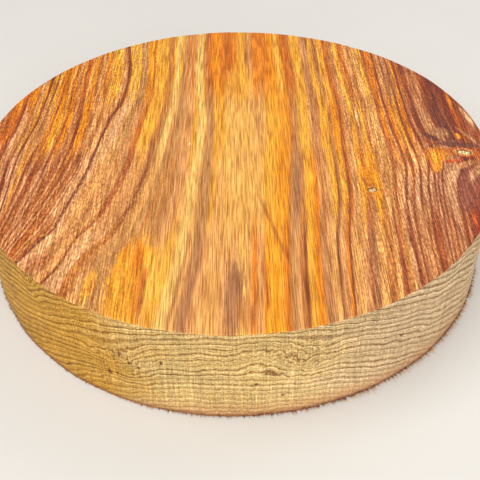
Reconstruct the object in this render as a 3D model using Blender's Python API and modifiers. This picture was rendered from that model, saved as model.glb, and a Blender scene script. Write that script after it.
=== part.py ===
# Canarywood bowl blank: one round disc of solid wood, band-sawn to a circle and planed on its upper face.
# Metres, +Z up. The origin is the centre of the underside that it rests on, and the fibres run along Y.
# The disc, the two knots in its face and the fibres torn out along its lower edge are one piece of wood.

import math
import random

import bmesh
import bpy
from mathutils import Matrix, Vector

# Driving dimensions of the disc
DIAMETER = 0.254
THICKNESS = 0.052
ARRIS = 0.0004
FACETS = 240

# How far the saw wandered off a true circle: waves round the rim, size, bearing of a crest in degrees
WANDER = (
    (2, 0.00045, 5.0),
    (3, 0.00035, 268.0),
    (5, 0.00025, 30.0),
    (23, 0.00012, 0.0),
)

# Open knots in the planed face: where they lie, their mouth, and the turn of its long axis in degrees
KNOTS = {
    "rim_knot": {
        "place": (0.1141, -0.0066),
        "length": 0.0062,
        "width": 0.0038,
        "depth": 0.0009,
        "turn": -14.0,
    },
    "pin_knot": {
        "place": (0.0641, -0.0363),
        "length": 0.0040,
        "width": 0.0032,
        "depth": 0.0011,
        "turn": 6.0,
    },
}
KNOT_SIDES = 16
KNOT_RINGS = 8

# Fibres torn out along the lower edge, where the saw broke through
FIBRE_PITCH = 0.0027
FIBRE_REACH = (0.0006, 0.0027)
FIBRE_ROOT = (0.00040, 0.00065)
FIBRE_SPREAD = (1.0, 2.2)
FIBRE_SUNK = 0.0014
FIBRE_HEIGHT = (0.0008, 0.0013)
FIBRE_SIDES = 3
FIBRE_CLEAR = 0.00025
FIBRE_SEED = 17

WOOD_COLOUR = (0.55, 0.25, 0.09, 1.0)
WOOD_ROUGHNESS = 0.55


def clear_scene():
    for old in list(bpy.data.objects):
        bpy.data.objects.remove(old, do_unlink=True)


def new_collection(name):
    made = bpy.data.collections.new(name)
    bpy.context.scene.collection.children.link(made)
    return made


def object_in(collection, name, shape):
    mesh = bpy.data.meshes.new(name)
    shape.to_mesh(mesh)
    shape.free()
    made = bpy.data.objects.new(name, mesh)
    collection.objects.link(made)
    return made


def wood():
    made = bpy.data.materials.new("canarywood")
    made.use_nodes = True
    shader = made.node_tree.nodes["Principled BSDF"]
    shader.inputs["Base Color"].default_value = WOOD_COLOUR
    shader.inputs["Roughness"].default_value = WOOD_ROUGHNESS
    shader.inputs["Metallic"].default_value = 0.0
    return made


def rim_radius(bearing):
    wander = sum(
        size * math.cos(waves * (bearing - math.radians(crest)))
        for waves, size, crest in WANDER
    )
    return DIAMETER / 2 + wander


def sawn_disc(collection):
    disc = bmesh.new()
    bmesh.ops.create_cone(
        disc,
        cap_ends=True,
        segments=FACETS,
        radius1=DIAMETER / 2,
        radius2=DIAMETER / 2,
        depth=THICKNESS,
        matrix=Matrix.Translation((0, 0, THICKNESS / 2)),
    )
    for vertex in disc.verts:
        scale = rim_radius(math.atan2(vertex.co.y, vertex.co.x)) * 2 / DIAMETER
        vertex.co.x *= scale
        vertex.co.y *= scale
    made = object_in(collection, "bowl_blank", disc)
    arris = made.modifiers.new("arris", "BEVEL")
    arris.width = ARRIS
    arris.segments = 1
    arris.limit_method = "ANGLE"
    arris.angle_limit = math.radians(60)
    return made


# A knot's mouth is the lower half of a flattened ball, sunk into the face to its depth.
def knot_cutter(collection, name, knot):
    ball = bmesh.new()
    bmesh.ops.create_uvsphere(ball, u_segments=KNOT_SIDES, v_segments=KNOT_RINGS, radius=1.0)
    bmesh.ops.scale(ball, vec=(knot["length"] / 2, knot["width"] / 2, knot["depth"]), verts=ball.verts)
    place = Matrix.Translation((*knot["place"], THICKNESS))
    place = place @ Matrix.Rotation(math.radians(knot["turn"]), 4, "Z")
    bmesh.ops.transform(ball, matrix=place, verts=ball.verts)
    made = object_in(collection, name, ball)
    made.hide_render = True
    made.display_type = "WIRE"
    return made


def cut(target, cutter):
    opening = target.modifiers.new(cutter.name, "BOOLEAN")
    opening.operation = "DIFFERENCE"
    opening.object = cutter


# The saw tore fibres out where it ran against the grain, most of all in the right front
# and left back quarters, and left the edge nearly clean in the other two.
def fibre_reach(bearing, draw):
    torn = 0.5 - 0.5 * math.sin(2 * bearing)
    low, high = FIBRE_REACH
    return low + (high - low) * torn ** 1.5 * draw.uniform(0.3, 1.0)


# One fibre is a three-sided spike, broader than it is high,
# with its root inside the wood and its tip outside the rim, leaning along the grain.
def torn_fibre(collection, index, bearing, draw):
    outward = Vector((math.cos(bearing), math.sin(bearing), 0))
    along_grain = Vector((0, math.copysign(1.0, outward.y), 0))
    lean = draw.uniform(0.0, 0.7)
    root = draw.uniform(*FIBRE_ROOT)
    spread = draw.uniform(*FIBRE_SPREAD)
    height = draw.uniform(*FIBRE_HEIGHT)
    reach = fibre_reach(bearing, draw)
    start = outward * (rim_radius(bearing) - FIBRE_SUNK)
    start.z = height
    tip = outward * (rim_radius(bearing) + reach) + along_grain * lean * reach
    tip.z = max(FIBRE_CLEAR, height - 0.5 * reach * draw.random())
    axis = tip - start
    spike = bmesh.new()
    bmesh.ops.create_cone(
        spike,
        cap_ends=True,
        segments=FIBRE_SIDES,
        radius1=root,
        radius2=0.0,
        depth=axis.length,
        matrix=Matrix.Translation((0, 0, axis.length / 2)),
    )
    bmesh.ops.scale(spike, vec=(spread, 1.0, 1.0), verts=spike.verts)
    turned = axis.to_track_quat("Z", "Y").to_matrix().to_4x4()
    bmesh.ops.transform(spike, matrix=Matrix.Translation(start) @ turned, verts=spike.verts)
    bmesh.ops.remove_doubles(spike, verts=spike.verts, dist=1e-6)
    return object_in(collection, f"torn_fibre_{index:03d}", spike)


def torn_edge(blank):
    fibres = new_collection("torn fibres")
    draw = random.Random(FIBRE_SEED)
    count = round(math.pi * DIAMETER / FIBRE_PITCH)
    step = 2 * math.pi / count
    for index in range(count):
        torn_fibre(fibres, index, (index + draw.uniform(-0.35, 0.35)) * step, draw)
    union = blank.modifiers.new("torn edge", "BOOLEAN")
    union.operation = "UNION"
    union.operand_type = "COLLECTION"
    union.collection = fibres
    return fibres


# Fixes the shape that the modifiers give, so that what they used can go.
def apply_modifiers(made):
    bpy.context.view_layer.update()
    graph = bpy.context.evaluated_depsgraph_get()
    shape = bpy.data.meshes.new_from_object(made.evaluated_get(graph))
    made.modifiers.clear()
    made.data = shape


def remove_all(collection):
    for old in list(collection.objects):
        bpy.data.objects.remove(old, do_unlink=True)
    bpy.data.collections.remove(collection)


def main():
    clear_scene()
    blank_parts = new_collection("bowl blank")
    cutters = new_collection("cutters")
    blank = sawn_disc(blank_parts)
    for name, knot in KNOTS.items():
        cut(blank, knot_cutter(cutters, name, knot))
    fibres = torn_edge(blank)
    apply_modifiers(blank)
    remove_all(fibres)
    remove_all(cutters)
    blank.data.materials.clear()
    blank.data.materials.append(wood())
    blank.data.shade_smooth()
    blank.data.set_sharp_from_angle(angle=math.radians(30))


main()
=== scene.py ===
import math
import random

import bmesh
import bpy
import numpy as np
from mathutils import Matrix, Vector, noise


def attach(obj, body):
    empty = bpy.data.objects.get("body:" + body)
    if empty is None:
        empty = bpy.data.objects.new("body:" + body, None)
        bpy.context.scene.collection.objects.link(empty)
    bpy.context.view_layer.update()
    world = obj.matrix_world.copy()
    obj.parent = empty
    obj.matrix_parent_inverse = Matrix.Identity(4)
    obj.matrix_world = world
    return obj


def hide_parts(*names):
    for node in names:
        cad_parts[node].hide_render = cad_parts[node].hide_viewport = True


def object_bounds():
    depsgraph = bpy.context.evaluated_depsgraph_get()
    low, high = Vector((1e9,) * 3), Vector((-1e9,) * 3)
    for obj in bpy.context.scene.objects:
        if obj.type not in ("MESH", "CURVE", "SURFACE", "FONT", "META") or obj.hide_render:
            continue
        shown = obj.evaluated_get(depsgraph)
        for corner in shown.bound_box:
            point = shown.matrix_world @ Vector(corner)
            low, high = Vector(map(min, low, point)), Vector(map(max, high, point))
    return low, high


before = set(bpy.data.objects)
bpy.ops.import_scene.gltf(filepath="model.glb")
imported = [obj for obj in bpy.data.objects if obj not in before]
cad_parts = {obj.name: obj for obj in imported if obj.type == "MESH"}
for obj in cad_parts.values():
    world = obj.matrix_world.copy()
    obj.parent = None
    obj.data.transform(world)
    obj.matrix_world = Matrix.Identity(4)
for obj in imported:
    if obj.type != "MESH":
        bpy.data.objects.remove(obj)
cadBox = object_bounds()
print("frame loaded")

mm = 0.001
rim = 127.0      # radius of the blank, mm

# Colours of the wood as the eye reads them, red, green and blue out of 255
woodColours = {
    "straw": (249, 192, 102), "yellow": (251, 181, 70), "gold": (247, 162, 44), "cream": (245, 175, 84),
    "honey": (247, 167, 54), "tan": (236, 164, 86), "peach": (238, 172, 114), "fawn": (236, 160, 90),
    "orange": (247, 146, 24), "amber": (234, 130, 34), "apricot": (236, 129, 34), "flame": (212, 113, 34),
    "copper": (208, 104, 42), "clay": (230, 152, 90), "sand": (222, 148, 84), "brown": (206, 126, 60),
    "umber": (202, 138, 76), "bronze": (214, 122, 50), "taupe": (198, 130, 76), "mauve": (184, 120, 74),
    "rust": (176, 90, 50), "wine": (158, 74, 38), "cocoa": (154, 82, 44), "russet": (162, 82, 44),
    "brick": (184, 94, 56), "purple": (160, 86, 62), "plum": (132, 68, 50), "smoke": (118, 66, 50),
    "ivory": (250, 214, 150), "knotTan": (221, 160, 85), "ember": (222, 92, 34), "glow": (248, 150, 40),
    "ochre": (192, 142, 54), "ochreLine": (116, 68, 18), "ochreLight": (224, 176, 84), "buff": (206, 172, 108),
    "buffLine": (122, 74, 36), "buffLight": (240, 214, 150), "beige": (200, 170, 128), "beigeLine": (120, 74, 46),
    "beigeLight": (240, 214, 172), "blush": (196, 142, 98), "edgeBrown": (150, 98, 62), "pitShade": (96, 54, 32),
    "fibrePale": (222, 178, 132),
}
sunlit = 0.87   # how bright the pale studio light is beside the light these colours were read in


def linear(name):
    shares = [value / 255 for value in woodColours[name]]
    plain = [share / 12.92 if share <= 0.04045 else ((share + 0.055) / 1.055) ** 2.4 for share in shares]
    return (*[sunlit * share for share in plain], 1.0)


# Short names for the shader nodes that every finish is built from
def feed(tree, socket, value):
    if isinstance(value, bpy.types.NodeSocket):
        tree.links.new(value, socket)
    else:
        socket.default_value = value


def maths(tree, operation, first, second=0.0, third=0.0):
    node = tree.nodes.new("ShaderNodeMath")
    node.operation = operation
    for socket, value in zip(node.inputs, (first, second, third)):
        feed(tree, socket, value)
    return node.outputs[0]


def times(tree, first, second):
    return maths(tree, "MULTIPLY", first, second)


def swing(tree, wave, amount):   # turns noise round a half into a swing either way round nothing
    return times(tree, maths(tree, "SUBTRACT", wave, 0.5), amount)


def nudged(tree, value, wave, amount):   # carries a value to and fro with the noise
    return maths(tree, "MULTIPLY_ADD", maths(tree, "SUBTRACT", wave, 0.5), amount, value)


def vectors(tree, operation, first, second=(0, 0, 0)):
    node = tree.nodes.new("ShaderNodeVectorMath")
    node.operation = operation
    feed(tree, node.inputs[0], first)
    feed(tree, node.inputs[1], second)
    return node.outputs["Value" if operation in ("LENGTH", "DOT_PRODUCT") else "Vector"]


def fade(tree, value, low, high, start=0.0, end=1.0, kind="SMOOTHSTEP"):
    node = tree.nodes.new("ShaderNodeMapRange")
    node.interpolation_type = kind
    for socket, number in zip(node.inputs, (value, low, high, start, end)):
        feed(tree, socket, number)
    return node.outputs[0]


def mixed(tree, share, first, second, blend="MIX"):
    node = tree.nodes.new("ShaderNodeMix")
    node.data_type = "RGBA"
    node.blend_type = blend
    feed(tree, node.inputs[0], share)
    feed(tree, node.inputs[6], first)
    feed(tree, node.inputs[7], second)
    return node.outputs[2]


def grains(tree, place, stretch, detail, rough=0.5, sides="3D"):
    node = tree.nodes.new("ShaderNodeTexNoise")
    node.noise_dimensions = sides
    feed(tree, node.inputs["Vector"], vectors(tree, "MULTIPLY", place, stretch))
    node.inputs["Scale"].default_value = 1.0
    node.inputs["Detail"].default_value = detail
    node.inputs["Roughness"].default_value = rough
    return node.outputs[0]


def spread(tree, wave, low, high):   # noise lies between 0.3 and 0.7 nearly everywhere
    return fade(tree, wave, 0.3, 0.7, low, high, "LINEAR")


def shifted(tree, place, amount):
    return vectors(tree, "ADD", place, amount)


def ramped(tree, value, stops):
    node = tree.nodes.new("ShaderNodeValToRGB")
    elements = node.color_ramp.elements
    while len(elements) < len(stops):
        elements.new(1.0)
    for element, (place, name) in zip(elements, stops):
        element.position = place
        element.color = linear(name)
    feed(tree, node.inputs[0], value)
    return node.outputs[0]


def painted(tree, colour, share, name):
    return mixed(tree, share, colour, linear(name))


def shade(tree, colour, value):   # brightens or darkens a colour by a factor
    return vectors(tree, "MULTIPLY", colour, combined(tree, value, value, value))


def dappled(tree, colour, wave, low, high):
    return shade(tree, colour, spread(tree, wave, low, high))


# What the darkest and the palest fibres make of the red, green and blue of the wood round them
fibreStain = {"dark": (0.62, 0.53, 0.46, 1.0), "pale": (1.28, 1.40, 1.50, 1.0)}


def stained(tree, colour, value):
    share = fade(tree, value, 0.28, 0.72, kind="LINEAR")
    return vectors(tree, "MULTIPLY", colour, mixed(tree, share, fibreStain["dark"], fibreStain["pale"]))


def combined(tree, x, y, z):
    node = tree.nodes.new("ShaderNodeCombineXYZ")
    for socket, value in zip(node.inputs, (x, y, z)):
        feed(tree, socket, value)
    return node.outputs[0]


def separated(tree, vector):
    node = tree.nodes.new("ShaderNodeSeparateXYZ")
    feed(tree, node.inputs[0], vector)
    return node.outputs


def inMillimetres(tree):
    node = tree.nodes.new("ShaderNodeTexCoord")
    return vectors(tree, "MULTIPLY", node.outputs["Object"], (1000, 1000, 1000))


def ovalReach(tree, flat, place, size, turn):   # 0 in the middle of an oval on the face, 1 at its edge
    cosine, sine = math.cos(math.radians(turn)), math.sin(math.radians(turn))
    offset = vectors(tree, "SUBTRACT", flat, (*place, 0))
    along = vectors(tree, "DOT_PRODUCT", offset, (cosine / size[0], sine / size[0], 0))
    aside = vectors(tree, "DOT_PRODUCT", offset, (-sine / size[1], cosine / size[1], 0))
    return vectors(tree, "LENGTH", combined(tree, along, aside, 0.0))


# A soft-edged oval in the plane of the face: 1 inside, 0 outside. Places and half sizes are in millimetres.
def oval(tree, flat, place, size, turn, soft, fray):
    reach = maths(tree, "ADD", ovalReach(tree, flat, place, size, turn), fray)
    return fade(tree, reach, 1.0 - soft, 1.0 + soft, 1.0, 0.0)


def newFinish(name):
    finish = bpy.data.materials.new(name)
    finish.use_nodes = True
    return finish, finish.node_tree, finish.node_tree.nodes["Principled BSDF"]


def coat(tree, shader, colour, roughness, gloss):
    feed(tree, shader.inputs["Base Color"], colour)
    feed(tree, shader.inputs["Roughness"], roughness)
    shader.inputs["Specular IOR Level"].default_value = gloss


def bumped(tree, shader, height, distance):
    node = tree.nodes.new("ShaderNodeBump")
    node.inputs["Strength"].default_value = 1.0
    node.inputs["Distance"].default_value = distance
    feed(tree, node.inputs["Height"], height)
    tree.links.new(node.outputs[0], shader.inputs["Normal"])


# Grain lines on the planed face: how far across the grain each belongs, then the points it runs through,
# along and across, in millimetres
grainLines = {
    -127: ((60, -127), (30, -126.5), (20, -127), (10, -128.5), (0, -130), (-10, -131), (-40, -131)),
    -116: ((60, -116.5), (42, -116), (30, -115.5), (20, -116), (10, -117.5), (0, -118.8), (-10, -119.5),
        (-40, -119)),
    -109: ((70, -108.8), (45, -109), (30, -109.3), (20, -110), (10, -110.8), (0, -111.4), (-10, -112),
        (-20, -111.8), (-32, -111), (-50, -110)),
    -104.3: ((76, -103.5), (57, -103.7), (40, -104.5), (24, -105), (17, -106), (11, -107.2), (5, -108), (0, -108.7),
        (-10, -109.2), (-20, -109.1), (-38, -108.6), (-55, -108.3)),
    -96.5: ((83, -96), (58, -96.5), (43, -97.3), (23, -98), (12, -98.7), (0, -100), (-10, -101.4), (-20, -102.7),
        (-30, -103.5), (-42, -104.6), (-51, -105.5), (-62, -107)),
    -90: ((89, -90.5), (58, -90), (36, -89.2), (15, -89.7), (0, -91.3), (-15, -92.8), (-29, -94.3), (-40, -96.2),
        (-50, -98), (-60, -100), (-70, -103)),
    -83.8: ((102, -84.5), (58, -84.5), (15, -84.5), (0, -85.2), (-13, -86.8), (-25, -88.4), (-36, -90.6),
        (-46, -93.2), (-57, -95.6), (-66, -98.2), (-76, -101.5)),
    -75.6: ((102, -76), (58, -75.6), (36, -76.8), (20, -77.1), (4, -78), (-10, -79.4), (-23, -81.7), (-34, -85),
        (-42, -87), (-49, -89), (-55, -91), (-62, -93.5), (-69, -96), (-82, -99.5)),
    -62.2: ((108, -63.5), (76, -60), (57, -60.5), (41, -62.5), (30, -66), (17, -68), (-9, -72), (-19, -73),
        (-37, -76.5), (-53, -80), (-64, -82.5), (-71, -87), (-83, -93.5), (-102, -106.5)),
    -47: ((114, -47.5), (42, -46.5), (20, -49), (0, -50.5), (-17, -52.5), (-27, -54.5), (-39, -57.5), (-51, -61),
        (-61, -66), (-67, -70), (-83, -74.5), (-91, -77.5), (-108, -89)),
    -39.4: ((114, -38), (38, -38.5), (3, -43), (-20, -45), (-34, -48), (-45, -49.5), (-53, -52.5), (-62, -55),
        (-69, -58), (-76, -63.5), (-89, -70), (-102, -72.5)),
    -30.5: ((114, -29), (38, -30.5), (0, -33.5), (-38, -38.5), (-57, -42.5), (-76, -47.5), (-95, -52), (-114, -56)),
    -19: ((114, -19.5), (0, -19), (-38, -21), (-76, -24), (-121, -30)),
    -12.7: ((121, -16.5), (83, -16.5), (51, -13.5), (0, -12.5), (-38, -14), (-76, -17), (-121, -23)),
    0: ((114, 0), (0, 0), (-121, -2.5)),
    12.7: ((114, 12.5), (0, 12.5), (-38, 12.5), (-121, 10)),
    30.5: ((114, 28), (38, 30.5), (0, 30), (-38, 27.5), (-76, 24), (-121, 22)),
    42: ((114, 42.5), (38, 42), (0, 40.5), (-38, 40.5), (-76, 38), (-121, 37)),
    56: ((114, 53.5), (76, 53.5), (38, 56), (0, 54.5), (-38, 53.5), (-76, 49.5), (-121, 47)),
    70: ((114, 69), (38, 70), (-38, 69), (-76, 67.5), (-114, 63.5)),
    81.3: ((102, 81), (76, 80.5), (38, 80.2), (13, 80.8), (0, 82), (-10, 82.4), (-19, 82.3), (-30, 80.7),
        (-38, 79.2), (-45, 78.2), (-57, 77.3), (-95, 76.6)),
    88.2: ((95, 88.2), (67, 88.2), (42, 88), (24, 87.8), (10, 88.4), (0, 88.8), (-10, 89.8), (-20, 89.4),
        (-29, 88.5), (-36, 87.4), (-45, 86.3), (-52, 85.6), (-65, 84.4), (-95, 83)),
    91.3: ((89, 91.3), (30, 91.1), (17, 91.7), (10, 92.6), (0, 93.4), (-10, 94.3), (-20, 93.8), (-29, 91.7),
        (-36, 90.6), (-45, 89.5), (-52, 88.8), (-65, 87.4), (-95, 86)),
    95: ((89, 94.5), (38, 95), (13, 96), (0, 98), (-13, 98), (-25, 94.9), (-38, 92.9), (-52, 91.8), (-76, 90),
        (-102, 88.5)),
    106.7: ((76, 106), (38, 106.5), (13, 109), (0, 112), (-8, 112.5), (-15, 109), (-25, 106), (-38, 104),
        (-76, 100.5), (-102, 98)),
    127: ((64, 127), (38, 127), (13, 125), (0, 122.5), (-8, 121.5), (-15, 122), (-38, 122), (-76, 118)),
}


def acrossAt(points, along):   # where a grain line lies across the face, on a smooth curve through its points
    points = sorted(points)
    heights = np.array([height for height, _ in points], float)
    places = np.array([place for _, place in points], float)
    slopes = np.gradient(places, heights)
    along = np.clip(along, heights[0], heights[-1])
    first = np.clip(np.searchsorted(heights, along, side="right") - 1, 0, len(heights) - 2)
    span = heights[first + 1] - heights[first]
    share = (along - heights[first]) / span
    rise = share * share * (3 - 2 * share)
    return (
        places[first] * (1 - rise)
        + places[first + 1] * rise
        + span * slopes[first] * share * (1 - share) ** 2
        - span * slopes[first + 1] * share ** 2 * (1 - share)
    )


def grainAt(points):   # (across the straightened grain, along it, height) in millimetres
    names = np.array(list(grainLines), float)
    lines = np.stack([acrossAt(line, points[:, 1]) for line in grainLines.values()], axis=1)
    grain = points.copy()
    for index, line in enumerate(lines):
        place = points[index, 0]
        grain[index, 0] = np.interp(place, line, names)
        if place < line[0]:
            grain[index, 0] = names[0] + place - line[0]
        elif place > line[-1]:
            grain[index, 0] = names[-1] + place - line[-1]
    return grain


# Stripes from the left rim to the right: where each begins across the grain, then its colour at the back of
# the face, in the middle, nearer the front and at the front. The last word also serves for what would follow.
stripes = {
    -130: "orange brown rust", -121.5: "orange flame rust brown", -119.6: "orange copper fawn peach",
    -118.2: "orange apricot peach rust", -116.2: "copper rust rust wine", -113.8: "orange peach brown fawn",
    -112: "orange fawn peach brown", -110.4: "orange fawn wine peach", -109.4: "brown brown wine",
    -108.3: "tan brown peach rust", -107.8: "fawn tan peach", -106.4: "gold honey peach fawn",
    -105: "wine russet", -103.6: "honey tan peach", -102.2: "honey tan fawn peach",
    -101.4: "cocoa brown honey brown", -100.2: "yellow umber honey rust", -99.3: "honey fawn fawn rust",
    -98.4: "orange sand rust", -97: "orange orange brown rust", -96: "flame brown peach fawn",
    -95.1: "orange gold rust", -94.2: "orange orange rust brown", -92.9: "honey yellow brown wine",
    -92.2: "tan honey peach wine", -91.2: "flame copper rust fawn", -90.1: "orange orange peach fawn",
    -89: "sand orange brown wine", -87.4: "orange sand rust peach", -86.6: "yellow sand rust peach",
    -85.4: "copper brown rust brown", -84.4: "copper brown fawn rust", -83.2: "copper wine rust",
    -82.4: "yellow wine brown peach", -81.4: "tan gold brown peach", -80.6: "orange orange wine rust",
    -79: "brown apricot rust", -78.2: "brown orange peach fawn", -77.2: "tan brown brown fawn",
    -76.2: "brown brown rust wine", -75.2: "tan sand brown wine", -74.4: "orange fawn rust copper",
    -73.2: "bronze tan sand copper", -71.8: "yellow fawn rust", -70.6: "honey brown peach fawn",
    -69.2: "honey brown rust", -68.2: "honey fawn peach brown", -66: "sand fawn fawn rust",
    -64.8: "sand brown peach wine", -63.6: "cocoa plum", -61.7: "honey fawn peach", -60: "yellow peach fawn peach",
    -56.6: "gold tan tan taupe", -55.4: "umber umber sand taupe", -52.3: "umber sand sand taupe",
    -51.4: "orange sand umber fawn", -49.4: "gold bronze rust fawn", -48: "flame flame rust cocoa",
    -46.8: "honey honey fawn peach", -44.7: "honey honey sand peach", -40.4: "brown brown taupe brown",
    -39.3: "brown brown cocoa brown", -37.6: "gold umber umber sand", -36: "straw straw tan umber",
    -33: "honey tan umber", -31.6: "umber sand umber", -30.2: "umber umber brown umber", -29: "bronze umber",
    -27.6: "sand fawn brown sand", -26.2: "fawn fawn umber", -25.2: "apricot fawn sand",
    -24.2: "sand fawn sand tan", -22.4: "straw honey tan honey", -20.6: "straw", -17.6: "honey straw tan umber",
    -16.4: "brown tan umber tan", -15.2: "brown umber umber taupe", -13.2: "brown taupe umber mauve",
    -11.9: "flame honey umber mauve", -10.8: "amber honey honey fawn", -9: "orange honey tan",
    -7: "amber honey tan", -5.4: "flame cream cream tan", -3.8: "flame cream cream fawn",
    -1: "amber cream cream fawn", 1: "honey cream", 6: "brown cream cream tan",
    7.8: "fawn cream cream apricot", 10: "amber tan cream fawn", 13.2: "amber tan honey orange",
    16: "amber honey honey gold", 19.4: "orange gold gold orange", 21.6: "orange gold orange gold",
    23.4: "glow glow gold", 25.2: "yellow gold orange amber", 27.2: "gold orange brown flame",
    28.8: "flame brown umber brown", 30.2: "flame brown mauve umber", 31.8: "flame umber mauve fawn",
    33.2: "bronze honey brown", 34.6: "honey yellow honey cocoa", 35.8: "honey honey gold honey",
    38.2: "gold honey orange", 39.2: "sand fawn amber", 40.6: "taupe brown fawn taupe",
    41.6: "taupe taupe brown taupe", 43.4: "honey brown sand", 45.2: "honey honey tan",
    46.8: "brown gold honey tan", 48.4: "mauve honey gold cocoa", 49.6: "brown brown cocoa mauve",
    50.6: "honey brown mauve fawn", 51.6: "honey orange honey fawn", 53.6: "gold orange gold apricot",
    55: "copper cocoa", 56.1: "flame flame flame sand", 57.2: "brown sand sand tan", 59.4: "sand fawn tan sand",
    60.6: "honey honey gold sand", 62: "gold gold gold rust", 62.8: "bronze brown flame mauve",
    64.9: "flame tan gold tan", 66: "fawn honey orange tan", 67.8: "brown brown gold brown", 69.6: "tan fawn brown",
    70.8: "tan tan fawn tan", 73: "honey tan tan rust", 75.2: "brown tan brown", 76.4: "flame rust rust brown",
    77.5: "apricot apricot fawn tan", 78.8: "apricot orange fawn peach", 80.2: "apricot fawn peach russet",
    81.1: "russet", 82.5: "fawn apricot peach clay", 83.8: "fawn orange brown rust",
    84.8: "cocoa brown rust clay", 85.6: "sand gold peach clay", 87.5: "russet russet russet clay",
    88.7: "tan orange peach brown", 90.2: "orange apricot peach clay", 91.2: "wine russet russet rust",
    92.6: "bronze clay peach copper", 93.8: "bronze rust peach rust", 95: "rust wine rust clay",
    96.4: "copper purple peach clay", 97.2: "brick clay rust wine", 98.2: "clay clay peach",
    99.2: "clay peach rust copper", 100.2: "brown peach peach clay", 101: "brown brown peach clay",
    101.8: "clay clay peach rust", 102.8: "clay rust peach", 103.6: "flame purple clay brown",
    104.6: "brick plum peach", 105.8: "bronze plum peach brown", 107: "brick plum purple rust",
    108.4: "wine purple purple clay", 110: "purple clay plum rust", 111.2: "rust rust purple",
    112.6: "purple purple purple copper", 113.8: "rust rust purple rust", 115.2: "rust flame clay rust",
    116.2: "orange orange rust peach", 117.6: "rust rust rust peach", 118.8: "brown brown peach", 119.8: "rust",
    120.6: "clay clay peach", 121.6: "rust brown rust brown", 122.4: "peach", 124.2: "clay", 125.2: "brown",
}
stripeLayout = {
    "heights": (82.0, 25.0, -32.0, -92.0),   # along the grain: back, middle, near and front
    "edges": (0.8, 0.3),                     # half the width over which a stripe turns into the next: middle, rims
    "middle": 30.0,
    "end": 130.0,
    "stops": 32,                             # as many as one colour ramp holds
}


def stopsAt(height):
    bands = []
    ends = [*list(stripes)[1:], stripeLayout["end"]]
    for (start, words), end in zip(stripes.items(), ends):
        words = words.split()
        name = words[min(height, len(words) - 1)]
        if bands and bands[-1][2] == name:
            bands[-1][1] = end
        else:
            bands.append([start, end, name])
    stops = []
    for start, end, name in bands:
        soft, crisp = stripeLayout["edges"]
        edge = min(soft if abs(start) < stripeLayout["middle"] else crisp, (end - start) / 3)
        stops += [(start + edge, name), (end - edge, name)]
    return stops


# The colour of the stripe at a place across the grain, from a node group of its own, which builds faster
def stripesAt(tree, across, height):
    group = bpy.data.node_groups.new(f"stripes_{height}", "ShaderNodeTree")
    group.interface.new_socket("Across", in_out="INPUT", socket_type="NodeSocketFloat")
    group.interface.new_socket("Colour", in_out="OUTPUT", socket_type="NodeSocketColor")
    place = group.nodes.new("NodeGroupInput").outputs[0]
    stops = stopsAt(height)
    colour = None
    for first in range(0, len(stops) - 1, stripeLayout["stops"] - 1):
        run = stops[first:first + stripeLayout["stops"]]
        low, high = run[0][0], run[-1][0]
        share = fade(group, place, low, high, kind="LINEAR")
        shown = ramped(group, share, [((stop - low) / (high - low), name) for stop, name in run])
        if colour is None:
            colour = shown
        else:
            colour = mixed(group, maths(group, "GREATER_THAN", place, low), colour, shown)
    feed(group, group.nodes.new("NodeGroupOutput").inputs[0], colour)
    node = tree.nodes.new("ShaderNodeGroup")
    node.node_tree = group
    feed(tree, node.inputs[0], across)
    return node.outputs[0]


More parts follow.
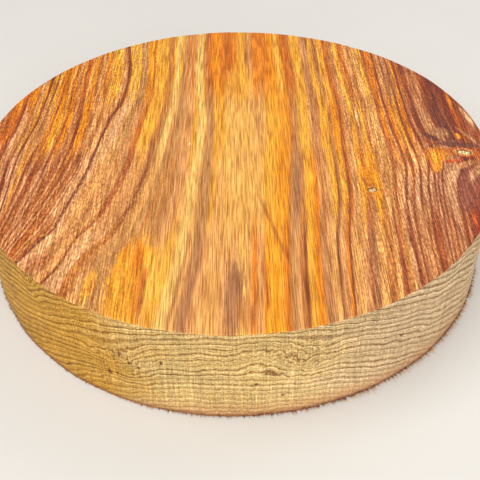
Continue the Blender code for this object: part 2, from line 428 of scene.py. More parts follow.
# Marks laid over the stripes: place, half sizes across and along, turn in degrees, colour, strength, softness
faceMarks = (
    ((-86, -84), (7, 4), 35, "rust", 0.6, 0.5), ((107.2, 24), (2.6, 10), 0, "plum", 0.5, 0.5),
    ((106, 11), (4.4, 4.6), -45, "mauve", 0.85, 0.4), ((100, 3.5), (6, 3), -35, "rust", 0.8, 0.4),
    ((102.5, -5.5), (7, 3.6), -4, "flame", 0.95, 0.35), ((100, -10), (5.6, 5.4), -12, "glow", 0.95, 0.5),
    ((98.3, -17), (2.6, 6), -12, "orange", 0.9, 0.4), ((95.3, -16), (0.7, 4.5), 0, "ember", 0.7, 0.5),
    ((101, 6.5), (7, 1.9), -42, "smoke", 0.9, 0.4), ((109.5, 0.6), (7.5, 2.5), -6, "smoke", 0.97, 0.35),
    ((117.5, -0.6), (5, 1.9), -8, "smoke", 0.97, 0.35), ((114, 7.6), (1.3, 2.4), 12, "orange", 0.95, 0.4),
    ((119, 7.5), (0.9, 9.4), 26, "peach", 0.5, 0.5), ((106.5, -14), (5, 1.4), 14, "ember", 0.85, 0.4),
    ((120.5, -12), (2.4, 6), -20, "copper", 0.7, 0.5), ((112, -17.2), (7, 2.2), 28, "clay", 0.75, 0.4),
    ((104.2, -26.5), (8.5, 2.4), 64, "peach", 0.75, 0.45), ((100.8, -44), (15, 1.7), 88, "peach", 0.6, 0.45),
    ((110, -36), (4.8, 18), -14, "purple", 0.85, 0.35), ((119, -34), (3, 12), -16, "brick", 0.6, 0.5),
    ((107.5, -58), (1.2, 6), -8, "ember", 0.7, 0.5), ((115.5, -24), (2, 8), -30, "peach", 0.5, 0.6),
    ((122.6, 26), (1.1, 9), 10, "peach", 0.9, 0.4), ((116.6, 42), (0.9, 8), 0, "orange", 0.7, 0.5),
    ((64.4, 27), (0.45, 8.5), 0, "ivory", 0.8, 0.4), ((39.4, 40.6), (0.7, 1), 20, "ivory", 0.9, 0.3),
    ((-23.5, 3.8), (0.5, 0.9), 0, "ivory", 0.9, 0.3), ((2.5, 64), (7, 18), 0, "honey", 0.8, 0.5),
    ((-44, -98), (10, 29), -7, "gold", 0.92, 0.2), ((-35, -94), (5.5, 20), -8, "yellow", 0.7, 0.25),
    ((-49.5, -82), (1.4, 12), -14, "orange", 0.8, 0.4), ((-42.5, -82), (2.2, 11), 0, "apricot", 0.85, 0.4),
    ((-40.8, -104), (2, 15), 0, "flame", 0.75, 0.4), ((-38.8, -95), (0.9, 7), 0, "copper", 0.9, 0.4),
    ((-39.5, -110), (0.9, 9), 0, "rust", 0.6, 0.4), ((-61.5, -99), (2.6, 9), -8, "gold", 0.7, 0.35),
    ((-1.5, -107), (4.2, 23), -2, "mauve", 1, 0.35), ((3.5, -116), (4, 9), 0, "brown", 0.7, 0.5),
    ((16, -62), (0.9, 24), 14, "rust", 0.6, 0.5), ((11.5, -98), (0.9, 16), 3, "rust", 0.6, 0.5),
    ((64, -31), (4.5, 13), 2, "orange", 0.45, 0.5), ((63, -49), (1.6, 13), -2, "mauve", 0.7, 0.5),
    ((62, -31), (0.9, 5), 22, "cocoa", 0.6, 0.5),
)

# Beside the rim knot the pale stripes turn golden between their dark lines
goldenTongues = {"place": (88, -11), "size": (9, 14), "turn": 0, "soft": 0.3}

# Open knots in the face, as in the solid: place, mouth, depth and the turn of the long axis. The halo is how far
# the wood round a knot is stained, in half lengths and half widths of the mouth.
knots = {
    "rimKnot": {"place": (114.1, -6.6), "length": 6.2, "width": 3.8, "depth": 0.9, "turn": -14.0, "halo": 2.5},
    "pinKnot": {"place": (64.1, -36.3), "length": 4.0, "width": 3.2, "depth": 1.1, "turn": 6.0, "halo": 1.7},
}

# Rings from the middle of a knot outwards, as shares of its halo
knotRings = {
    "rimKnot": (
        (0.0, "knotTan"), (0.10, "ivory"), (0.34, "ivory"), (0.39, "cocoa"), (0.45, "smoke"),
        (0.50, "tan"), (0.57, "peach"), (0.62, "ember"), (0.70, "orange"), (0.77, "rust"),
        (0.86, "ember"), (1.0, "rust"),
    ),
    "pinKnot": (
        (0.0, "knotTan"), (0.10, "ivory"), (0.50, "ivory"), (0.56, "cocoa"), (0.68, "smoke"),
        (0.76, "honey"), (1.0, "gold"),
    ),
}


def knotColours(tree, flat, colour, wobble):
    for name, knot in knots.items():
        size = knot["length"] / 2, knot["width"] / 2
        reach = maths(tree, "ADD", ovalReach(tree, flat, knot["place"], size, knot["turn"]), wobble)
        rings = ramped(tree, maths(tree, "DIVIDE", reach, knot["halo"]), knotRings[name])
        share = fade(tree, reach, knot["halo"] * 0.75, knot["halo"], 1.0, 0.0)
        colour = mixed(tree, share, colour, rings)
    return colour


planedLook = {
    "jitter": 0.35,       # how far single fibres carry a stripe's edge aside, mm
    "wander": 0.2,        # slow wander of the stripes, mm
    # how the face is made darker and redder towards the rims: from and to how far across the grain, then the tint
    "tints": (
        (-58.0, -95.0, (0.86, 0.80, 0.84, 1.0)),
        (60.0, 118.0, (0.67, 0.56, 0.57, 1.0)),
        (101.0, 116.0, (0.82, 0.60, 0.55, 1.0)),
    ),
    "golden": (1.24, 1.16, 0.86, 1.0),   # tint of the golden tongues
    "flames": 28.0,       # how far along the grain a stripe's colour changes early or late, mm
    "sudden": 0.2,        # share of the way between two heights over which nothing changes, at either end
    # layers of fibres from broad to fine: shift, how many across and along each millimetre, detail, then how
    # strongly they show in the middle of the face and towards the rims
    "fibres": (
        ((0, 0, 0), (0.34, 0.025, 1), 3.0, (0.45, 0.65)),
        ((7, 3, 0), (1.0, 0.06, 1), 3.0, (0.4, 0.9)),
        ((1, 9, 0), (1.25, 0.45, 1), 2.0, (0.12, 1.3)),
        ((17, 3, 0), (2.3, 0.055, 1), 2.0, (1.5, 2.0)),
    ),
    "pores": (0.1, 0.4),  # how strongly they show in the middle and towards the rims
    # woolly grain at the left front, where the plane lifted the fibres; their ends are painted pale, a painted
    # highlight where they catch the light
    "woolly": {"place": (-72, -50), "size": (30, 42), "turn": -28, "soft": 0.55},
    "roughness": (0.42, 0.62),
}


def planedFace():
    finish, tree, shader = newFinish("planed canarywood")
    attribute = tree.nodes.new("ShaderNodeAttribute")
    attribute.attribute_name = "grain"
    across, along, _ = separated(tree, attribute.outputs["Vector"])
    x, y, _ = separated(tree, inMillimetres(tree))
    flat = combined(tree, x, y, 0.0)
    strand = combined(tree, across, y, 0.0)

    fibres = grains(tree, flat, (1.5, 0.05, 1), 2.0, sides="2D")
    slow = grains(tree, strand, (0.10, 0.02, 1), 1.0, sides="2D")
    moved = nudged(tree, across, fibres, planedLook["jitter"] * 2)
    moved = nudged(tree, moved, slow, planedLook["wander"] * 2)

    # Towards the rim the same change of colour comes nearer the middle, and each fibre has it at its own place
    outward = maths(tree, "POWER", maths(tree, "DIVIDE", across, rim), 2.0)
    height = times(tree, along, maths(tree, "MULTIPLY_ADD", outward, 0.35, 1.0))
    tongue = grains(tree, shifted(tree, strand, (40, 0, 0)), (0.55, 0.006, 1), 2.0, 0.6, sides="2D")
    height = nudged(tree, height, tongue, planedLook["flames"] * 2)
    colour = stripesAt(tree, moved, 3)
    levels = stripeLayout["heights"]
    for station in (2, 1, 0):
        front, back = levels[station + 1], levels[station]
        slack = (back - front) * planedLook["sudden"]
        share = fade(tree, height, front + slack, back - slack)
        colour = mixed(tree, share, colour, stripesAt(tree, moved, station))

    for start, end, tint in planedLook["tints"]:
        colour = mixed(tree, fade(tree, across, start, end), colour, tint, "MULTIPLY")
    outer = fade(tree, maths(tree, "ABSOLUTE", x), 25.0, 80.0)
    lively = fade(tree, y, 20.0, 100.0, 1.0, 1.15)   # the fibres stand out a little more at the back

    fray = grains(tree, flat, (0.9, 0.16, 1), 3.0, 0.6, sides="2D")
    golden = oval(tree, flat, **goldenTongues, fray=maths(tree, "MULTIPLY_ADD", fray, 2.0, -1.0))
    colour = mixed(tree, golden, colour, planedLook["golden"], "MULTIPLY")
    fray = swing(tree, fray, 1.1)
    for place, size, turn, name, strength, soft in faceMarks:
        colour = painted(tree, colour, times(tree, oval(tree, flat, place, size, turn, soft, fray), strength), name)
    wobble = grains(tree, flat, (0.45, 0.45, 1), 2.0, sides="2D")
    colour = knotColours(tree, flat, colour, swing(tree, wobble, 0.5))

    # Fibres, pores and the fleck of the planed surface
    for shift, stretch, detail, (middle, rims) in planedLook["fibres"]:
        fibre = grains(tree, shifted(tree, flat, shift), stretch, detail, 0.62, sides="2D")
        strength = times(tree, fade(tree, outer, 0.0, 1.0, middle, rims, "LINEAR"), lively)
        colour = stained(tree, colour, maths(tree, "ADD", swing(tree, fibre, strength), 0.5))
    fine = fibre
    pores = grains(tree, shifted(tree, flat, (3, 5, 0)), (1.7, 0.13, 1), 1.0, sides="2D")
    pore = fade(tree, pores, 0.60, 0.70)
    colour = painted(tree, colour, times(tree, pore, fade(tree, outer, 0.0, 1.0, *planedLook["pores"])), "rust")

    woolly = oval(tree, flat, **planedLook["woolly"], fray=fray)
    tufts = grains(tree, shifted(tree, flat, (9, 1, 0)), (0.95, 0.36, 1), 3.0, 0.7, sides="2D")
    pale = times(tree, fade(tree, tufts, 0.52, 0.68), times(tree, woolly, 0.6))
    dark = times(tree, fade(tree, tufts, 0.48, 0.34), times(tree, woolly, 0.4))
    # painted highlight: the lifted fibre ends are painted pale where they catch the light, with a darker red
    # between them
    colour = painted(tree, colour, pale, "cream")
    colour = painted(tree, colour, dark, "rust")

    coat(tree, shader, colour, spread(tree, fine, *planedLook["roughness"]), 0.13)
    height = maths(tree, "MULTIPLY_ADD", fine, 0.6, times(tree, pore, -0.6))
    height = maths(tree, "MULTIPLY_ADD", times(tree, tufts, woolly), 1.6, height)
    bumped(tree, shader, height, 0.12 * mm)
    return finish


# The growth rings lie round the heart of the tree, which ran along Y below the face.
ringLook = {
    "heart": 171.0,       # how far below the planed face the heart lay, mm
    "face": 52.0,         # height of the planed face, mm
    "pitch": 3.0,         # from one dark ring to the next, mm
    "waver": 1.5,         # slow waver of the rings, mm
    "kinks": 0.5,         # small kinks in them, mm
    "sawTeeth": 120,      # saw marks round the rim
    # the side's tones change from left to right as painted light
    "ochreToBuff": (-66.0, -30.0),   # where the side's tone turns from one to the next, mm
    "buffToBeige": (10.0, 68.0),
}

# Places on the side where the rings bend round small buried knots: place and half size in millimetres, then how
# far they are pushed outwards and how much they curl
curls = (
    ((-50.0, -117.0, 27.0), (13, 13, 9), 5.0, 2.6),
    ((-54.9, -114.7, 15.0), (7, 7, 7), -3.5, 2.2),
    ((11.0, -126.8, 38.0), (9, 10, 8), -4.0, 2.4),
    ((27.0, -124.0, 33.0), (11, 9, 9), 2.5, 3.2),
    ((-89.0, -90.0, 46.0), (6, 6, 6), 3.0, 2.0),
    ((44.0, 119.0, 24.0), (12, 12, 9), 4.5, 2.6),
    ((-96.0, 84.0, 33.0), (9, 9, 8), -4.0, 2.4),
)
# Small pits beside them, which the mesh doesn't hollow, so the shade inside them is painted shade: place, half size
shadedPits = (
    ((-54.9, -114.7, 16.5), (1.1, 2, 1.3)), ((-31.6, -123.2, 31.3), (0.7, 2, 1.3)),
    ((-41.5, -120.2, 25.1), (0.8, 2, 0.7)), ((-45.4, -118.8, 26.7), (0.6, 2, 1.0)),
    ((-49.4, -117.2, 30.5), (0.5, 2, 1.5)), ((-14.2, -126.4, 30.4), (0.7, 2, 0.5)),
    ((7.2, -127.0, 21.1), (0.9, 2, 0.7)), ((18.4, -125.9, 12.5), (0.8, 2, 0.7)),
    ((70.0, -106.2, 27.0), (1.2, 2, 0.8)),
)


def near(tree, place, centre, size, soft):   # 1 at a spot in the wood, fading to 0 at its half size
    reach = vectors(tree, "LENGTH", vectors(tree, "DIVIDE", vectors(tree, "SUBTRACT", place, centre), size))
    return fade(tree, reach, 1.0 - soft, 1.0 + soft, 1.0, 0.0)


def growthRings(tree, place):   # how far outside the ring that just touches the middle of the face, mm
    x, _, z = separated(tree, place)
    up = maths(tree, "ADD", z, ringLook["heart"] - ringLook["face"])
    radius = vectors(tree, "LENGTH", combined(tree, x, 0.0, up))
    rings = maths(tree, "SUBTRACT", radius, ringLook["heart"])
    slow = grains(tree, place, (0.055, 0.03, 0.055), 1.0)
    rings = nudged(tree, rings, slow, ringLook["waver"] * 4)
    kinks = grains(tree, place, (0.22, 0.06, 0.30), 2.0, 0.6)
    rings = nudged(tree, rings, kinks, ringLook["kinks"] * 4)
    swirl = grains(tree, shifted(tree, place, (31, 17, 5)), (0.16, 0.05, 0.20), 2.0, 0.6)
    swirl = maths(tree, "SUBTRACT", swirl, 0.42)
    for centre, size, push, curl in curls:
        closeness = near(tree, place, centre, size, 1.0)
        amount = maths(tree, "MULTIPLY_ADD", swirl, curl * 4, push)
        rings = maths(tree, "MULTIPLY_ADD", closeness, amount, rings)
    return rings


def ringLine(tree, rings, pitch, low, high, seed):   # dark late wood just before each ring ends
    turns = maths(tree, "DIVIDE", rings, pitch)
    index = maths(tree, "FLOOR", turns)
    share = maths(tree, "FRACT", turns)
    rise = fade(tree, share, low, high)
    fall = fade(tree, share, 0.93, 1.0, 1.0, 0.0)
    node = tree.nodes.new("ShaderNodeTexWhiteNoise")
    node.noise_dimensions = "1D"
    feed(tree, node.inputs["W"], maths(tree, "ADD", index, seed))
    weight = fade(tree, node.outputs["Value"], 0.0, 1.0, 0.35, 1.0, "LINEAR")
    return times(tree, times(tree, rise, fall), weight)


# Three tones of the sawn side, from left to right, each with its dark rings and its pale ones. The change from one
#  tone to the next is painted light: the warm ochre at the left and the beige at the right stand for how the light
#      falls.
sideTonesAsLit = (
    ("ochre", "ochreLine", "ochreLight"),
    ("buff", "buffLine", "buffLight"),
    ("beige", "beigeLine", "beigeLight"),
)


def sawnSide():
    finish, tree, shader = newFinish("band-sawn canarywood")
    place = inMillimetres(tree)
    x, y, z = separated(tree, place)
    rings = growthRings(tree, place)
    bold = ringLine(tree, rings, ringLook["pitch"], 0.66, 0.84, 11.0)
    thin = ringLine(tree, rings, ringLook["pitch"] * 0.43, 0.55, 0.82, 57.0)
    light = ringLine(tree, maths(tree, "ADD", rings, ringLook["pitch"] * 0.35), ringLook["pitch"], 0.45, 0.8, 3.0)

    # The saw's teeth broke the lines up into dashes and left upright scratches across them
    bearing = maths(tree, "ARCTAN2", y, x)
    upright = combined(tree, times(tree, bearing, rim), z, 0.0)
    dashes = grains(tree, upright, (0.75, 0.30, 1), 2.0, 0.6, sides="2D")
    dashed = fade(tree, dashes, 0.34, 0.54, 0.5, 1.0)
    scratches = grains(tree, shifted(tree, upright, (50, 0, 0)), (1.5, 0.03, 1), 3.0, 0.8, sides="2D")
    nicks = grains(tree, shifted(tree, upright, (90, 0, 0)), (0.5, 0.01, 1), 3.0, 0.75, sides="2D")

    drift = grains(tree, place, (0.03, 0.03, 0.06), 2.0)
    sideways = maths(tree, "ADD", x, swing(tree, drift, 50.0))
    # painted light: the side turns from warm ochre at the left through buff to beige at the right, as the light
    # falls round it
    toBuff = fade(tree, sideways, *ringLook["ochreToBuff"])
    toBeige = fade(tree, sideways, *ringLook["buffToBeige"])
    tones = []
    for first, second, third in zip(*sideTonesAsLit):
        tone = mixed(tree, toBuff, linear(first), linear(second))
        tones.append(mixed(tree, toBeige, tone, linear(third)))
    base, line, pale = tones
    colour = mixed(tree, times(tree, light, 0.7), base, pale)
    crowded = fade(tree, z, 32.0, 46.0, 0.55, 0.95)   # the lines lie closer towards the face
    colour = mixed(tree, times(tree, times(tree, thin, dashed), crowded), colour, line)
    colour = mixed(tree, times(tree, times(tree, bold, dashed), 0.95), colour, line)

    cloud = grains(tree, place, (0.045, 0.045, 0.09), 3.0, 0.6)
    colour = dappled(tree, colour, cloud, 0.86, 1.12)
    fuzz = grains(tree, place, (1.3, 1.3, 1.6), 2.0, 0.8)
    colour = dappled(tree, colour, fuzz, 0.50, 1.53)
    colour = dappled(tree, colour, scratches, 0.76, 1.25)
    colour = shade(tree, colour, fade(tree, nicks, 0.60, 0.66, 1.0, 1.16))

    # Saw marks run straight up the side, with finer ones between them
    waves = maths(tree, "SINE", times(tree, bearing, ringLook["sawTeeth"]))
    scratch = maths(tree, "SINE", times(tree, bearing, ringLook["sawTeeth"] * 5))
    sawn = maths(tree, "MULTIPLY_ADD", scratch, 0.5, waves)
    colour = shade(tree, colour, fade(tree, sawn, -1.5, 1.5, 0.955, 1.03, "LINEAR"))

    # The side turns pink near its lower edge, and is darker and browner along the edge itself
    pinkness = times(tree, fade(tree, z, 3.0, 11.0, 0.55, 0.0), fade(tree, x, -60.0, -10.0))
    colour = mixed(tree, pinkness, colour, shade(tree, linear("blush")[:3], fade(tree, fuzz, 0.3, 0.7, 0.7, 1.3)))
    edge = maths(tree, "MULTIPLY_ADD", fuzz, 2.5, z)
    colour = painted(tree, colour, fade(tree, edge, 2.2, 4.6, 0.75, 0.0), "edgeBrown")
    # painted shade where the small pits open in the side
    for centre, size in shadedPits:
        colour = painted(tree, colour, times(tree, near(tree, place, centre, size, 0.4), 0.9), "pitShade")

    coat(tree, shader, colour, spread(tree, fuzz, 0.66, 0.86), 0.2)
    height = maths(tree, "MULTIPLY_ADD", fuzz, 1.2, times(tree, bold, -0.5))
    height = maths(tree, "MULTIPLY_ADD", sawn, 0.18, height)
    bumped(tree, shader, height, 0.22 * mm)
    return finish


# The underside is rough-sawn: the rings come out as long stripes, crossed by the marks of the saw
undersideStripes = (
    (0.0, "buff"), (0.07, "tan"), (0.10, "sand"), (0.16, "buff"), (0.20, "taupe"),
    (0.23, "fawn"), (0.30, "buffLight"), (0.36, "brown"), (0.39, "tan"), (0.46, "ochreLight"),
    (0.50, "sand"), (0.53, "rust"), (0.56, "fawn"), (0.63, "buffLight"), (0.67, "taupe"),
    (0.71, "tan"), (0.78, "apricot"), (0.81, "brown"), (0.85, "buff"), (0.93, "rust"), (1.0, "clay"),
)
undersideLook = {"rings": (-54.0, 6.0), "sawPitch": 3.4}


def roughUnderside():
    finish, tree, shader = newFinish("rough-sawn canarywood")
    place = inMillimetres(tree)
    _, y, _ = separated(tree, place)
    rings = growthRings(tree, place)
    colour = ramped(tree, fade(tree, rings, *undersideLook["rings"], kind="LINEAR"), undersideStripes)
    bold = ringLine(tree, rings, ringLook["pitch"], 0.35, 0.88, 11.0)
    colour = painted(tree, colour, times(tree, bold, 0.5), "brown")
    fuzz = grains(tree, place, (1.2, 0.35, 1.0), 3.0, 0.7)
    colour = dappled(tree, colour, fuzz, 0.82, 1.08)
    wander = grains(tree, place, (0.04, 0.01, 1), 1.0)
    marks = maths(tree, "MULTIPLY_ADD", wander, 2.0, maths(tree, "DIVIDE", y, undersideLook["sawPitch"]))
    marks = maths(tree, "SINE", times(tree, marks, 2 * math.pi))
    colour = shade(tree, colour, fade(tree, marks, -1.0, 1.0, 0.94, 1.03, "LINEAR"))
    coat(tree, shader, colour, spread(tree, fuzz, 0.68, 0.88), 0.2)
    height = maths(tree, "MULTIPLY_ADD", marks, 0.25, fuzz)
    bumped(tree, shader, height, 0.25 * mm)
    return finish


def tornFibreFinish():
    finish, tree, shader = newFinish("torn canarywood fibres")
    place = inMillimetres(tree)
    x, y, _ = separated(tree, place)
    reach = vectors(tree, "LENGTH", combined(tree, x, y, 0.0))
    specks = grains(tree, place, (0.5, 0.5, 0.5), 2.0, 0.6)
    reach = maths(tree, "MULTIPLY_ADD", specks, 0.8, reach)
    colour = painted(tree, linear("beigeLine"), fade(tree, reach, rim + 0.3, rim + 1.9), "fibrePale")
    colour = dappled(tree, colour, specks, 0.82, 1.08)
    coat(tree, shader, colour, spread(tree, specks, 0.7, 0.9), 0.2)
    bumped(tree, shader, grains(tree, place, (2.5, 2.5, 2.5), 2.0), 0.05 * mm)
    return finish


def placed(name, data):
    made = bpy.data.objects.new(name, data)
    bpy.context.scene.collection.objects.link(made)
    return made


def pieceFrom(shape, name, *finishes):
    mesh = bpy.data.meshes.new(name)
    shape.to_mesh(mesh)
    shape.free()
    for finish in finishes:
        mesh.materials.append(finish)
    return placed(name, mesh)


# The blank itself
blank = {
    "radius": rim * mm,
    "thickness": 52 * mm,
    "arris": 0.4 * mm,
    "steps": 45,                   # of the spun shape, before its outer rings are divided again
    "halvedBeyond": (7 * mm, 16 * mm, 32 * mm, 62 * mm),
    "faceRing": 3 * mm,            # from one ring of the face's mesh to the next
    "undersideRing": 6 * mm,
    "sideRows": 40,
    "wander": ((2, 0.45 * mm, 5), (3, 0.35 * mm, 268), (5, 0.25 * mm, 30), (23, 0.12 * mm, 0)),
    "ridge": 0.045 * mm,           # of the saw marks
    "fuzz": 0.05 * mm,
    "chip": 0.45 * mm,             # how far the torn lower edge is eaten away
}


def rimRadius(bearing):
    wander = sum(size * math.cos(waves * (bearing - math.radians(crest))) for waves, size, crest in blank["wander"])
    return blank["radius"] + wander


def spacing(length, step):
    count = round(length / step)
    return [length * index / count for index in range(count + 1)]


def flatReach(vertex):
    return math.hypot(vertex.co.x, vertex.co.y)


def outwards(bearing, height=0.0):   # the way from the middle of the blank to a place on its rim
    return Vector((math.cos(bearing), math.sin(bearing), height))


def spunBlank():
    radius, thickness, arris = blank["radius"], blank["thickness"], blank["arris"]
    outline = [(reach, 0.0) for reach in spacing(radius, blank["undersideRing"])]
    rows = blank["sideRows"]
    outline += [(radius, (thickness - arris) * row / rows) for row in range(1, rows + 1)]
    outline += [(reach, thickness) for reach in reversed(spacing(radius - arris, blank["faceRing"]))]
    shape = bmesh.new()
    points = [shape.verts.new((reach, 0, height)) for reach, height in outline]
    edges = [shape.edges.new(pair) for pair in zip(points, points[1:])]
    bmesh.ops.spin(
        shape, geom=points + edges, cent=(0, 0, 0), axis=(0, 0, 1), dvec=(0, 0, 0),
        angle=2 * math.pi, steps=blank["steps"], use_merge=True,
    )
    bmesh.ops.remove_doubles(shape, verts=shape.verts, dist=0.001 * mm)
    bmesh.ops.recalc_face_normals(shape, faces=shape.faces)
    return shape


def addSpokes(shape):   # halves the steps round the rim again and again, further out each time
    step = 2 * math.pi / blank["steps"]
    for limit in blank["halvedBeyond"]:
        around = []
        for edge in shape.edges:
            first, second = edge.verts
            apart = abs(flatReach(first) - flatReach(second))
            level = abs(first.co.z - second.co.z)
            if apart < 0.01 * mm and level < 0.01 * mm and flatReach(first) > limit:
                around.append(edge)
        made = bmesh.ops.subdivide_edges(shape, edges=around, cuts=1, use_grid_fill=True)["geom_inner"]
        for vertex in made:
            if isinstance(vertex, bmesh.types.BMVert):
                vertex.co.x /= math.cos(step / 2)
                vertex.co.y /= math.cos(step / 2)
        step /= 2


def refineKnots(shape):   # a finer mesh where the knots open
    for knot in knots.values():
        centre = Vector((*knot["place"], 0)) * mm
        reach = knot["length"] * 0.85 * mm
        around = set()
        for face in shape.faces:
            middle = face.calc_center_median()
            flatMiddle = Vector((middle.x, middle.y, 0))
            if middle.z > blank["thickness"] - 0.1 * mm and (flatMiddle - centre).length < reach:
                around.update(face.edges)
        bmesh.ops.subdivide_edges(shape, edges=list(around), cuts=3, use_grid_fill=True)


def knotDip(x, y):   # how far the face sinks into a knot here, with the knot's own wood standing up in its middle
    for knot in knots.values():
        turn = math.radians(-knot["turn"])
        dx, dy = x - knot["place"][0] * mm, y - knot["place"][1] * mm
        along = (dx * math.cos(turn) - dy * math.sin(turn)) / (knot["length"] / 2 * mm)
        aside = (dx * math.sin(turn) + dy * math.cos(turn)) / (knot["width"] / 2 * mm)
        reach = math.hypot(along, aside)
        if reach < 1:
            bowl = math.sqrt(1 - reach ** 4)
            core = 0.55 * max(0.0, 1 - (reach / 0.75) ** 2)
            return knot["depth"] * mm * (bowl - core)
    return 0.0


def sideRelief(bearing, height):   # rings, saw marks and fuzz on the sawn side, inwards from the rim
    teeth = math.cos(ringLook["sawTeeth"] * bearing)
    place = outwards(bearing, height / blank["radius"]) * rim
    fuzz = noise.noise(place * 0.45) + 0.5 * noise.noise(place * 1.1)
    return blank["ridge"] * (1 - teeth) / 2 + blank["fuzz"] * (0.8 + fuzz)


def tornShare(bearing):   # rough in the right front and left back quarters, nearly clean in the other two
    return 0.5 - 0.5 * math.sin(2 * bearing)


def shapeBlank(shape):
    radius, thickness = blank["radius"], blank["thickness"]
    for vertex in shape.verts:
        reach = flatReach(vertex)
        bearing = math.atan2(vertex.co.y, vertex.co.x)
        scale = rimRadius(bearing) / radius
        height = vertex.co.z
        if reach > radius - 0.1 * mm:
            fall = min(1.0, (thickness - blank["arris"] - height) / (2 * mm))
            scale -= sideRelief(bearing, height) * fall / radius
        if reach > radius - 0.1 * mm and height < 0.1 * mm:
            spot = outwards(bearing) * rim
            eaten = max(0.0, noise.noise(spot * 0.6) + 0.6 * noise.noise(spot * 1.7))
            vertex.co.z = blank["chip"] * eaten * (0.3 + tornShare(bearing))
            scale -= 0.5 * blank["chip"] * eaten / radius
        vertex.co.x *= scale
        vertex.co.y *= scale
        if height > thickness - 0.01 * mm:
            vertex.co.z -= knotDip(vertex.co.x, vertex.co.y)


def finishesBySide(mesh):
    for face in mesh.polygons:
        if face.center.z > blank["thickness"] - 1.3 * mm and face.normal.z > 0.3:
            face.material_index = 0
        elif face.center.z < 0.1 * mm and face.normal.z < -0.7:
            face.material_index = 2
        else:
            face.material_index = 1


def makeBlank():
    shape = spunBlank()
    addSpokes(shape)
    refineKnots(shape)
    shapeBlank(shape)
    piece = pieceFrom(shape, "turning_blank", planedFace(), sawnSide(), roughUnderside())
    mesh = piece.data
    finishesBySide(mesh)
    mesh.shade_smooth()
    mesh.set_sharp_from_angle(angle=math.radians(32))
    points = np.empty(len(mesh.vertices) * 3)
    mesh.vertices.foreach_get("co", points)
    grain = grainAt(points.reshape(-1, 3) / mm)
    attribute = mesh.attributes.new("grain", "FLOAT_VECTOR", "POINT")
    attribute.data.foreach_set("vector", grain.astype(np.float32).ravel())
    return piece


# Fibres torn out along the lower edge, where the saw broke through
torn = {
    "pitch": 0.75 * mm,
    "reach": (0.6 * mm, 3.0 * mm),
    "root": (0.14 * mm, 0.32 * mm),
    "spread": (1.2, 3.2),
    "sunk": 1.2 * mm,
    "height": (0.3 * mm, 1.3 * mm),
    "clear": 0.1 * mm,
    "sides": 4,
    "seed": 29,
}


def tornFibre(shape, bearing, draw):
    outward = outwards(bearing)
    alongGrain = Vector((0, math.copysign(1.0, outward.y), 0))
    low, high = torn["reach"]
    reach = low + (high - low) * tornShare(bearing) * draw.uniform(0.15, 1.0)
    height = draw.uniform(*torn["height"])
    start = outward * (rimRadius(bearing) - torn["sunk"])
    start.z = height
    tip = outward * (rimRadius(bearing) + reach) + alongGrain * draw.uniform(-0.2, 0.7) * reach
    tip.z = max(torn["clear"], height + draw.uniform(-0.6, 0.3) * reach)
    lowest, highest = cadBox
    tip.x = min(max(tip.x, lowest.x + 0.05 * mm), highest.x - 0.05 * mm)
    tip.y = min(max(tip.y, lowest.y + 0.05 * mm), highest.y - 0.05 * mm)
    axis = tip - start
    made = bmesh.ops.create_cone(
        shape, cap_ends=True, segments=torn["sides"], radius1=draw.uniform(*torn["root"]), radius2=0.0,
        depth=axis.length, matrix=Matrix.Translation((0, 0, axis.length / 2)),
    )["verts"]
    bmesh.ops.scale(shape, vec=(draw.uniform(*torn["spread"]), 1.0, 1.0), verts=made)
    turned = axis.to_track_quat("Z", "Y").to_matrix().to_4x4()
    bmesh.ops.transform(shape, matrix=Matrix.Translation(start) @ turned, verts=made)
    bmesh.ops.remove_doubles(shape, verts=made, dist=0.001 * mm)


def makeTornFibres():
    draw = random.Random(torn["seed"])
    count = round(2 * math.pi * blank["radius"] / torn["pitch"])
    step = 2 * math.pi / count
    shape = bmesh.new()
    for index in range(count):
        tornFibre(shape, (index + draw.uniform(-0.5, 0.5)) * step, draw)
    bmesh.ops.recalc_face_normals(shape, faces=shape.faces)
    return pieceFrom(shape, "torn_fibres", tornFibreFinish())


for piece in (makeBlank(), makeTornFibres()):
    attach(piece, "root")
    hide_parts("bowl_blank")
    print("made", piece.name, "with", len(piece.data.polygons), "faces")


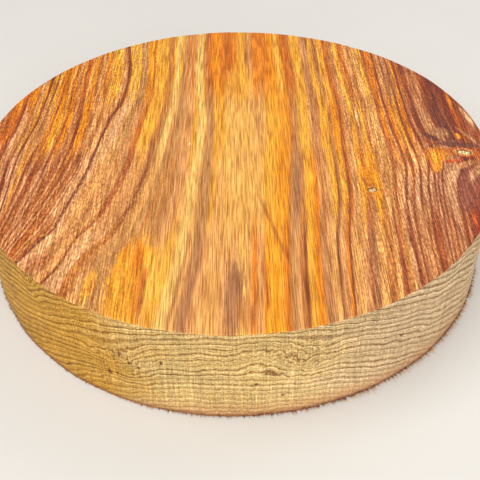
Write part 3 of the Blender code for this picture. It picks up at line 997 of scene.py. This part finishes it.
# Studio: a plain pale floor and soft light
studio = {
    "floor": (0.60, 0.59, 0.57),
    "sky": (1.0, 0.985, 0.96, 1.0),
    "skyStrength": 0.50,
    "middle": (0, 0, 0.03),
    # place, size, watts and colour of each soft lamp, all turned towards the middle of the blank
    "lamps": (
        ((-0.55, -0.35, 1.05), 1.1, 12.6, (1.0, 0.97, 0.92)),
        ((0.35, -1.25, 0.55), 1.1, 13.6, (1.0, 0.98, 0.95)),
        ((0.7, 0.7, 0.8), 0.9, 5.4, (1.0, 0.98, 0.95)),
    ),
}


def makeFloor():
    finish, tree, shader = newFinish("pale studio floor")
    tone = grains(tree, inMillimetres(tree), (0.01, 0.01, 0.01), 3.0)
    coat(tree, shader, dappled(tree, studio["floor"], tone, 0.985, 1.015), 0.85, 0.15)
    shape = bmesh.new()
    bmesh.ops.create_grid(shape, x_segments=1, y_segments=1, size=3.0)
    bmesh.ops.translate(shape, vec=(0, 0, -0.05 * mm), verts=shape.verts)
    floor = pieceFrom(shape, "studio_floor", finish)


def looking(place, aim):
    return (Vector(aim) - Vector(place)).to_track_quat("-Z", "Y")


def makeLights():
    world = bpy.data.worlds.new("studio")
    world.use_nodes = True
    sky = world.node_tree.nodes["Background"]
    sky.inputs["Color"].default_value = studio["sky"]
    sky.inputs["Strength"].default_value = studio["skyStrength"]
    bpy.context.scene.world = world
    for index, (place, size, watts, colour) in enumerate(studio["lamps"]):
        lamp = bpy.data.lights.new(f"softbox_{index}", "AREA")
        lamp.shape = "SQUARE"
        lamp.size = size
        lamp.energy = watts
        lamp.color = colour
        holder = placed(f"softbox_{index}", lamp)
        holder.location = place
        holder.rotation_euler = looking(place, studio["middle"]).to_euler()


# The camera looks down on the blank from the front, about 34 degrees above the horizontal. Places are in metres,
# the roll is in degrees, and the lens and the film are in millimetres.
view = {
    "place": (0.0, -0.33551, 0.28271),
    "aim": (0.0013, -0.07123, 0.052),
    "roll": -0.551,
    "lens": 60.0,
    "film": 36.0,
}


def makeCamera():
    camera = bpy.data.cameras.new("camera")
    camera.lens = view["lens"]
    camera.sensor_width = view["film"]
    camera.clip_start = 0.01
    holder = placed("camera", camera)
    holder.location = view["place"]
    look = looking(view["place"], view["aim"]).to_matrix()
    holder.rotation_euler = (look @ Matrix.Rotation(math.radians(view["roll"]), 3, "Z")).to_euler()
    bpy.context.scene.camera = holder


makeFloor()
makeLights()
makeCamera()
bpy.context.scene.view_settings.view_transform = "Standard"
print("studio ready")
